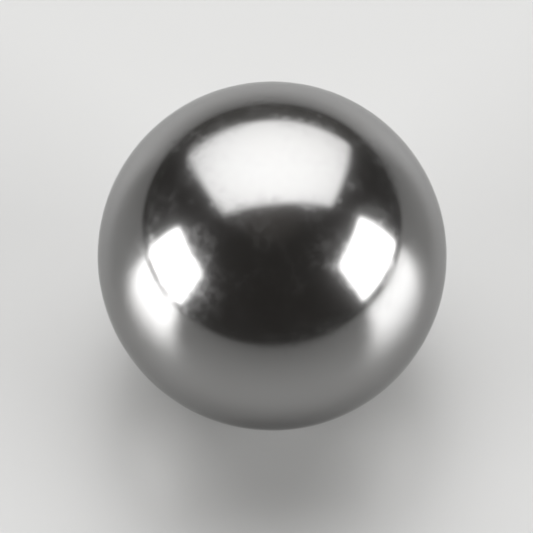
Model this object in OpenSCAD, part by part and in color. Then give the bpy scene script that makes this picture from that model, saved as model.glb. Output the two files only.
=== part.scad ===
// Steel ball: one solid sphere, cold-headed from bar, hardened, ground and lapped to a mirror.
// It is round about every axis, with no bore, flat, seam or mark, so one diameter sets its whole form.

/* [Ball] */
// Diameter of the finished ball, in millimetres
ball_d = 20; // [3:0.5:50]

/* [Hidden] */
// Segments round a great circle
$fn = 180;

// Every separate piece, by name

// The ball, with its centre at the origin
module ball() {
    color("#8c8c8a")
        sphere(d = ball_d);
}

ball();
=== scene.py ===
# Steel ball: one lapped steel ball on a satin floor, lit by three soft boxes in a dim room.
import math

import bpy
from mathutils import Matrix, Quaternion, Vector


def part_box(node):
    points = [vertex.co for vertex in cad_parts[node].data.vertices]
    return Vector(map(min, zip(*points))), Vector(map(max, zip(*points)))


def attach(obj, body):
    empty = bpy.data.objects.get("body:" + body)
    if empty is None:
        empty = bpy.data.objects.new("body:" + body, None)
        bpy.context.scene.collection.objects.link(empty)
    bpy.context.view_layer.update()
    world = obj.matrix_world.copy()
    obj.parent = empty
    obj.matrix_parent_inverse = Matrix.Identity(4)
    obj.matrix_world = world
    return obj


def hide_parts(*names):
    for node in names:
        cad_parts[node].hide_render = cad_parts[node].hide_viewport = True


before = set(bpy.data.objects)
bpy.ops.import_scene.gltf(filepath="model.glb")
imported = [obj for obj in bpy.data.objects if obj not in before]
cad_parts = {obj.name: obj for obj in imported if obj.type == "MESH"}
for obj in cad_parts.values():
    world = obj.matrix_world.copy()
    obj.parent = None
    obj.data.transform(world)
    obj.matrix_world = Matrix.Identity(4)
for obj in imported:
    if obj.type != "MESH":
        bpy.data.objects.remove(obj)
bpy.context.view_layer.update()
scene = bpy.context.scene
scene.view_settings.view_transform = "Standard"  # tones come out as they are lit, as in the photograph

mm = 0.001
ballLow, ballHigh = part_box("ball")
ballCentre = (ballLow + ballHigh) / 2
ballRadius = (ballHigh.z - ballLow.z) / 2
print("frame:", len(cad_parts), "node, ball radius", round(ballRadius / mm, 3), "mm")


# sRGB hex to linear light, by the sRGB curve
def linearColour(hexColour):
    parts = [int(hexColour[i:i + 2], 16) / 255 for i in (1, 3, 5)]
    linear = [c / 12.92 if c <= 0.04045 else ((c + 0.055) / 1.055) ** 2.4 for c in parts]
    return (*linear, 1.0)


# adds a node, sets its options or its sockets, by name or number, and links other sockets into it
def addNode(tree, kind, settings=None, links=None):
    node = tree.nodes.new("ShaderNode" + kind)
    for key, value in (settings or {}).items():
        if isinstance(key, str) and hasattr(node, key):
            setattr(node, key, value)
        else:
            node.inputs[key].default_value = value
    for key, source in (links or {}).items():
        tree.links.new(source, node.inputs[key])
    return node


colourA, colourB, colourOut = 6, 7, 2  # colour sockets of a Mix node, by number as their names repeat


def newMaterial(name):
    material = bpy.data.materials.new(name)
    material.use_nodes = True
    material.node_tree.nodes.clear()
    return material, material.node_tree


setTurnDeg = 45.0  # the whole set is turned round the ball, so that no plain side view faces a lamp


# unit vector from the ball: azimuth 0 is the set's far side, 90 its right, elevation is above the floor
def directionTo(azimuthDeg, elevationDeg):
    az, el = math.radians(azimuthDeg - setTurnDeg), math.radians(elevationDeg)
    return Vector((math.sin(az) * math.cos(el), math.cos(az) * math.cos(el), math.sin(el)))


# where the ball stands in the photograph's frame, and how high the camera looks from
photoDisc = {
    "framePx": 533,
    "centrePx": (271.7, 255.5),
    "radiusPx": 174.6,
    "elevation": 60.0,  # the mirrored horizon gives this height
}


# point of the ball that shows at a pixel of the photograph
def ballPoint(pixel):
    across = (pixel[0] - photoDisc["centrePx"][0]) / photoDisc["radiusPx"]
    up = (photoDisc["centrePx"][1] - pixel[1]) / photoDisc["radiusPx"]
    near = math.sqrt(1 - across ** 2 - up ** 2)
    normal = (across * directionTo(90, 0) + up * directionTo(0, 90 - photoDisc["elevation"])
              + near * directionTo(180, photoDisc["elevation"]))
    return ballCentre + ballRadius * normal


# the ball
ballShape = {
    "edgeCuts": 63,  # cuts along each cube edge, fine enough that a mirror shows no facet
    "mergeMm": 0.001,
}


def makeBall():
    bpy.ops.object.select_all(action="DESELECT")
    bpy.ops.mesh.primitive_cube_add(size=2 * ballRadius, location=ballCentre)
    ball = bpy.context.object
    ball.name = "lappedBall"
    bpy.ops.object.mode_set(mode="EDIT")
    bpy.ops.mesh.select_all(action="SELECT")
    bpy.ops.mesh.subdivide(number_cuts=ballShape["edgeCuts"])
    bpy.ops.object.mode_set(mode="OBJECT")
    bpy.ops.object.transform_apply(location=True, rotation=True, scale=True)
    roundOff = ball.modifiers.new("roundOff", "CAST")
    roundOff.cast_type = "SPHERE"
    roundOff.factor = 1.0
    roundOff.use_radius_as_size = False
    roundOff.size = ballRadius
    bpy.ops.object.modifier_apply(modifier=roundOff.name)
    bpy.ops.object.mode_set(mode="EDIT")
    bpy.ops.mesh.select_all(action="SELECT")
    bpy.ops.mesh.remove_doubles(threshold=ballShape["mergeMm"] * mm)
    bpy.ops.mesh.normals_make_consistent(inside=False)
    bpy.ops.object.mode_set(mode="OBJECT")
    bpy.ops.object.shade_smooth()
    return ball


# bearing steel, hardened, ground and lapped: a crisp grey mirror under a thin veil that glows round
# what is bright, with smudges of film and specks of dust that catch the light there
steelFinish = {
    "light": "#b1b1b1",
    "dark": "#aaa9a8",
    "edgeTint": "#cccccc",  # steel darkens a little towards a grazing view
    "cloudMm": 5.0,
    "cloudDetail": 4.0,  # a detail is how many times a noise is laid over itself, finer each time
    "cloudSpan": (0.3, 0.7),  # a span is the part of a noise that is spread from none to all
    "roughLow": 0.09,
    "roughHigh": 0.12,
    "veilRough": 0.24,  # the veil spreads its share of the light far wider than the mirror does
    "veilShare": 0.25,
    "veilByDull": 6.0,  # share that the veil gains for each unit of roughness from film and dust
    "smearMm": 2.6,  # patches where handling left a film
    "smearDetail": 2.0,
    "smearSpan": (0.43, 0.66),
    # smudges and marks that the photograph shows: pixel, then reach in mm
    "smudges": (((208, 296), 1.9), ((328, 256), 2.2), ((172, 207), 0.8),
                ((205, 232), 0.9), ((354, 186), 0.8)),
    "mottleMm": 0.5,  # the film is mottled
    "mottleDetail": 3.0,
    "mottleSpan": (0.45, 0.72),
    "filmRough": 0.02,
    "mottleRough": 0.13,
    "speckEveryMm": 1.0,  # dust
    "speckMm": 0.55,
    "speckSpan": (0.55, 1.0),
    "speckRough": 0.08,
    "marks": (((291, 178), 0.3), ((273, 200), 0.3), ((186, 310), 0.3),
              ((198, 227), 0.45), ((214, 242), 0.4)),
    "markRough": 0.05,
    "grainMm": 0.15,  # lapping marks are a hundred times finer, drawn coarser to show
    "grainDetail": 2.0,
    "grainDeepMm": 0.02,
    "grainBump": 0.02,
}


# value that falls from most, where a pixel of the photograph shows the ball, to nothing at its reach
def fadeFrom(tree, spot, pixel, reachMm, most):
    away = addNode(tree, "VectorMath", {"operation": "DISTANCE", 1: ballPoint(pixel)}, {0: spot})
    fall = addNode(tree, "MapRange",
                   {"interpolation_type": "SMOOTHSTEP",
                    "From Min": reachMm * mm, "From Max": 0.0, "To Max": most},
                   {"Value": away.outputs["Value"]})
    return fall.outputs["Result"]


def makeSteel(finish):
    material, tree = newMaterial("lapped bearing steel")
    spot = addNode(tree, "TexCoord").outputs["Object"]

    # faint clouds in the tone and in the haze
    clouds = addNode(tree, "TexNoise",
                     {"Scale": 1 / (finish["cloudMm"] * mm), "Detail": finish["cloudDetail"]},
                     {"Vector": spot})
    tone = addNode(tree, "Mix",
                   {"data_type": "RGBA", colourA: linearColour(finish["dark"]),
                    colourB: linearColour(finish["light"])},
                   {"Factor": clouds.outputs["Fac"]})
    haze = addNode(tree, "MapRange",
                   {"From Min": finish["cloudSpan"][0], "From Max": finish["cloudSpan"][1],
                    "To Min": finish["roughLow"], "To Max": finish["roughHigh"]},
                   {"Value": clouds.outputs["Fac"]})

    # film in chance smears and in the smudges, broken up by the mottle
    smears = addNode(tree, "TexNoise",
                     {"Scale": 1 / (finish["smearMm"] * mm), "Detail": finish["smearDetail"]},
                     {"Vector": spot})
    film = addNode(tree, "MapRange",
                   {"From Min": finish["smearSpan"][0], "From Max": finish["smearSpan"][1]},
                   {"Value": smears.outputs["Fac"]})
    for pixel, reachMm in finish["smudges"]:
        smudge = fadeFrom(tree, spot, pixel, reachMm, 1.0)
        film = addNode(tree, "Math", {"operation": "MAXIMUM"}, {0: film.outputs[0], 1: smudge})
    mottle = addNode(tree, "TexNoise",
                     {"Scale": 1 / (finish["mottleMm"] * mm), "Detail": finish["mottleDetail"]},
                     {"Vector": spot})
    mottled = addNode(tree, "MapRange",
                      {"From Min": finish["mottleSpan"][0], "From Max": finish["mottleSpan"][1],
                       "To Min": finish["filmRough"], "To Max": finish["mottleRough"]},
                      {"Value": mottle.outputs["Fac"]})
    film = addNode(tree, "Math", {"operation": "MULTIPLY"}, {0: film.outputs[0], 1: mottled.outputs[0]})

    # dust, each speck with a weight of its own, and the few marks that stand out
    dust = addNode(tree, "TexVoronoi", {"Scale": 1 / (finish["speckEveryMm"] * mm)}, {"Vector": spot})
    speck = addNode(tree, "MapRange",
                    {"interpolation_type": "SMOOTHSTEP",
                     "From Min": finish["speckMm"] / finish["speckEveryMm"] / 2, "From Max": 0.0},
                    {"Value": dust.outputs["Distance"]})
    chance = addNode(tree, "SeparateColor", None, {"Color": dust.outputs["Color"]})
    weight = addNode(tree, "MapRange",
                     {"From Min": finish["speckSpan"][0], "From Max": finish["speckSpan"][1],
                      "To Max": finish["speckRough"]},
                     {"Value": chance.outputs["Red"]})
    specks = addNode(tree, "Math", {"operation": "MULTIPLY"}, {0: speck.outputs[0], 1: weight.outputs[0]})
    dull = addNode(tree, "Math", {"operation": "ADD"}, {0: film.outputs[0], 1: specks.outputs[0]})
    for pixel, reachMm in finish["marks"]:
        mark = fadeFrom(tree, spot, pixel, reachMm, finish["markRough"])
        dull = addNode(tree, "Math", {"operation": "ADD"}, {0: dull.outputs[0], 1: mark})

    # film and dust roughen the mirror and thicken the veil
    rough = addNode(tree, "Math", {"operation": "ADD"}, {0: haze.outputs[0], 1: dull.outputs[0]})
    share = addNode(tree, "Math",
                    {"operation": "MULTIPLY_ADD", 1: finish["veilByDull"], 2: finish["veilShare"]},
                    {0: dull.outputs[0]})

    # the mirror, faintly marked by lapping, and the smooth veil that takes its share of the light
    grain = addNode(tree, "TexNoise",
                    {"Scale": 1 / (finish["grainMm"] * mm), "Detail": finish["grainDetail"]},
                    {"Vector": spot})
    lapMarks = addNode(tree, "Bump",
                       {"Strength": finish["grainBump"], "Distance": finish["grainDeepMm"] * mm},
                       {"Height": grain.outputs["Fac"]})
    mirror = addNode(tree, "BsdfPrincipled",
                     {"Metallic": 1.0, "Specular Tint": linearColour(finish["edgeTint"])},
                     {"Base Color": tone.outputs[colourOut], "Roughness": rough.outputs[0],
                      "Normal": lapMarks.outputs["Normal"]})
    veil = addNode(tree, "BsdfPrincipled",
                   {"Metallic": 1.0, "Specular Tint": linearColour(finish["edgeTint"]),
                    "Roughness": finish["veilRough"]},
                   {"Base Color": tone.outputs[colourOut]})
    steel = addNode(tree, "MixShader", None,
                    {"Fac": share.outputs[0], 1: mirror.outputs["BSDF"], 2: veil.outputs["BSDF"]})
    addNode(tree, "OutputMaterial", None, {"Surface": steel.outputs["Shader"]})
    return material


ball = makeBall()
ball.data.materials.clear()
ball.data.materials.append(makeSteel(steelFinish))
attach(ball, "root")
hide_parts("ball")
print("ball:", len(ball.data.polygons), "faces")

# the floor: a pale satin sheet that the ball stands on
floorSheet = {
    "colour": "#c8c8c7",
    "halfSizeM": 6.0,
    "sheenRough": 0.35,
    "sheenBlend": 0.5,  # an even blend, which makes facing grow as the view gets lower
    "sheenSpan": (0.16, 0.95),  # facing, from a view nearly straight down to one nearly level
    "sheenLeast": 0.10,  # share of sheen seen from high up
    "sheenMost": 0.63,  # and seen from low down, where a satin sheet shines most
}


def makeFloor():
    bpy.ops.object.select_all(action="DESELECT")
    bpy.ops.mesh.primitive_plane_add(size=2 * floorSheet["halfSizeM"], location=(0, 0, ballLow.z))
    floor = bpy.context.object
    floor.name = "floorSheet"
    material, tree = newMaterial("pale satin sheet")
    lowAngle = addNode(tree, "LayerWeight", {"Blend": floorSheet["sheenBlend"]})
    share = addNode(tree, "MapRange",
                    {"From Min": floorSheet["sheenSpan"][0], "From Max": floorSheet["sheenSpan"][1],
                     "To Min": floorSheet["sheenLeast"], "To Max": floorSheet["sheenMost"]},
                    {"Value": lowAngle.outputs["Facing"]})
    matt = addNode(tree, "BsdfDiffuse", {"Color": linearColour(floorSheet["colour"])})
    sheen = addNode(tree, "BsdfGlossy", {"distribution": "BECKMANN", "Roughness": floorSheet["sheenRough"]})
    mixed = addNode(tree, "MixShader", None,
                    {"Fac": share.outputs["Result"], 1: matt.outputs[0], 2: sheen.outputs[0]})
    addNode(tree, "OutputMaterial", None, {"Surface": mixed.outputs[0]})
    floor.data.materials.append(material)


makeFloor()
print("floor: ready")

# soft boxes: place from the ball, angles in degrees, sizes and fading strips as shares of the distance
softBoxes = {
    "overhead": {"azimuth": 2.9, "elevation": 53.9, "distanceM": 1.3, "width": 1.716, "height": 1.305,
                 "turn": -6.8, "tip": -5.8, "roll": 2.5, "radiance": 2.28,
                 "sideFade": 0.16, "topFade": 0.16, "lowFade": 0.14, "brightAt": 0.6, "edgeShare": 0.7},
    "leftBox": {"azimuth": -105.8, "elevation": 16.7, "distanceM": 0.5, "width": 0.59, "height": 0.48,
                "turn": 0.0, "tip": -8.5, "roll": 0.0, "radiance": 8.1,
                "sideFade": 0.12, "topFade": 0.12, "lowFade": 0.06, "brightAt": 0.5, "edgeShare": 1.0},
    "rightBox": {"azimuth": 103.1, "elevation": 20.7, "distanceM": 0.5, "width": 0.654, "height": 0.556,
                 "turn": 0.0, "tip": -10.7, "roll": -2.0, "radiance": 6.2,
                 "sideFade": 0.12, "topFade": 0.12, "lowFade": 0.08, "brightAt": 0.5, "edgeShare": 1.0},
}
clothReach = 1.5  # squared distance from the brightest point, in half widths, where edgeShare is reached


# the cloth of a soft box is brightest near the middle and fades over a strip along each edge
def fadeEdges(lampData, box):
    lampData.use_nodes = True
    tree = lampData.node_tree
    tree.nodes.clear()
    spot = addNode(tree, "NewGeometry").outputs["Parametric"]
    across = addNode(tree, "SeparateXYZ", None, {"Vector": spot})
    # from the brightest point, counted in half widths and half heights
    middle = addNode(tree, "Mapping",
                     {"Location": (-1.0, -2 * box["brightAt"], 0.0), "Scale": (2.0, 2.0, 0.0)},
                     {"Vector": spot})
    outFrom = addNode(tree, "VectorMath", {"operation": "DOT_PRODUCT"},
                      {0: middle.outputs["Vector"], 1: middle.outputs["Vector"]})
    strength = addNode(tree, "MapRange",
                       {"From Max": clothReach, "To Min": 1.0, "To Max": box["edgeShare"]},
                       {"Value": outFrom.outputs["Value"]})
    width = lampData.size / box["distanceM"]
    height = lampData.size_y / box["distanceM"]
    strips = (("X", 0.0, box["sideFade"] / width), ("X", 1.0, 1 - box["sideFade"] / width),
              ("Y", 0.0, box["lowFade"] / height), ("Y", 1.0, 1 - box["topFade"] / height))
    for axis, dark, full in strips:
        strip = addNode(tree, "MapRange",
                        {"interpolation_type": "SMOOTHSTEP", "From Min": dark, "From Max": full},
                        {"Value": across.outputs[axis]})
        strength = addNode(tree, "Math", {"operation": "MULTIPLY"},
                           {0: strength.outputs[0], 1: strip.outputs[0]})
    glow = addNode(tree, "Emission", None, {"Strength": strength.outputs[0]})
    addNode(tree, "OutputLight", None, {"Surface": glow.outputs[0]})


def makeSoftBox(name, box):
    lampData = bpy.data.lights.new(name, "AREA")
    lampData.shape = "RECTANGLE"
    lampData.size = (box["width"] + box["sideFade"]) * box["distanceM"]
    lampData.size_y = (box["height"] + (box["topFade"] + box["lowFade"]) / 2) * box["distanceM"]
    lampData.energy = box["radiance"] * math.pi * lampData.size * lampData.size_y  # watts
    fadeEdges(lampData, box)
    lamp = bpy.data.objects.new(name, lampData)
    scene.collection.objects.link(lamp)
    outward = directionTo(box["azimuth"] + box["turn"], box["elevation"] + box["tip"])
    rolled = Quaternion((0, 0, 1), math.radians(box["roll"]))
    lamp.rotation_mode = "QUATERNION"
    lamp.rotation_quaternion = outward.to_track_quat("Z", "Y") @ rolled  # a lamp shines along its -Z
    # the bright part keeps its middle where the strips above and below it differ
    lift = lamp.rotation_quaternion @ Vector((0, (box["topFade"] - box["lowFade"]) / 4, 0))
    lamp.location = ballCentre + box["distanceM"] * (directionTo(box["azimuth"], box["elevation"]) + lift)
    lamp.visible_camera = False


for boxName, box in softBoxes.items():
    makeSoftBox(boxName, box)

# the dim room round the set, a little lighter overhead and behind
dimRoom = {
    "walls": "#383634",
    "lighter": ({"colour": "#504d4a", "azimuth": 0.0, "elevation": 90.0, "spreadDeg": 26.0},
                {"colour": "#504e4b", "azimuth": 0.0, "elevation": 6.0, "spreadDeg": 50.0}),
}


def makeRoom():
    world = bpy.data.worlds.new("dimRoom")
    scene.world = world
    world.use_nodes = True
    tree = world.node_tree
    tree.nodes.clear()
    towards = addNode(tree, "TexCoord").outputs["Generated"]
    walls = None
    for patch in dimRoom["lighter"]:
        middle = directionTo(patch["azimuth"], patch["elevation"])
        nearness = addNode(tree, "VectorMath", {"operation": "DOT_PRODUCT", 1: middle}, {0: towards})
        fall = addNode(tree, "MapRange",
                       {"interpolation_type": "SMOOTHSTEP",
                        "From Min": math.cos(math.radians(patch["spreadDeg"])), "From Max": 1.0},
                       {"Value": nearness.outputs["Value"]})
        under = {colourA: walls.outputs[colourOut]} if walls else {}
        walls = addNode(tree, "Mix",
                        {"data_type": "RGBA", colourA: linearColour(dimRoom["walls"]),
                         colourB: linearColour(patch["colour"])},
                        {"Factor": fall.outputs["Result"], **under})
    glow = addNode(tree, "Background", None, {"Color": walls.outputs[colourOut]})
    addNode(tree, "OutputWorld", None, {"Surface": glow.outputs[0]})


makeRoom()
print("light: three soft boxes and a dim room")

# the camera, set by the ball's place in the photograph
cameraView = {
    "lensMm": 760.0,
    "sensorMm": 36.0,
    "clipM": (0.01, 100.0),
}


def makeCamera():
    cameraData = bpy.data.cameras.new("camera")
    cameraData.lens = cameraView["lensMm"]
    cameraData.sensor_width = cameraView["sensorMm"]
    cameraData.clip_start, cameraData.clip_end = cameraView["clipM"]
    camera = bpy.data.objects.new("camera", cameraData)
    scene.collection.objects.link(camera)
    scene.camera = camera
    focalPx = cameraView["lensMm"] / cameraView["sensorMm"] * photoDisc["framePx"]
    halfAngle = math.atan(photoDisc["radiusPx"] / focalPx)
    toCamera = directionTo(180, photoDisc["elevation"])
    camera.location = ballCentre + toCamera * ballRadius / math.sin(halfAngle)
    camera.rotation_euler = (-toCamera).to_track_quat("-Z", "Y").to_euler()
    middlePx = (photoDisc["framePx"] - 1) / 2
    cameraData.shift_x = (middlePx - photoDisc["centrePx"][0]) / photoDisc["framePx"]
    cameraData.shift_y = (photoDisc["centrePx"][1] - middlePx) / photoDisc["framePx"]


makeCamera()
print("camera: ready")
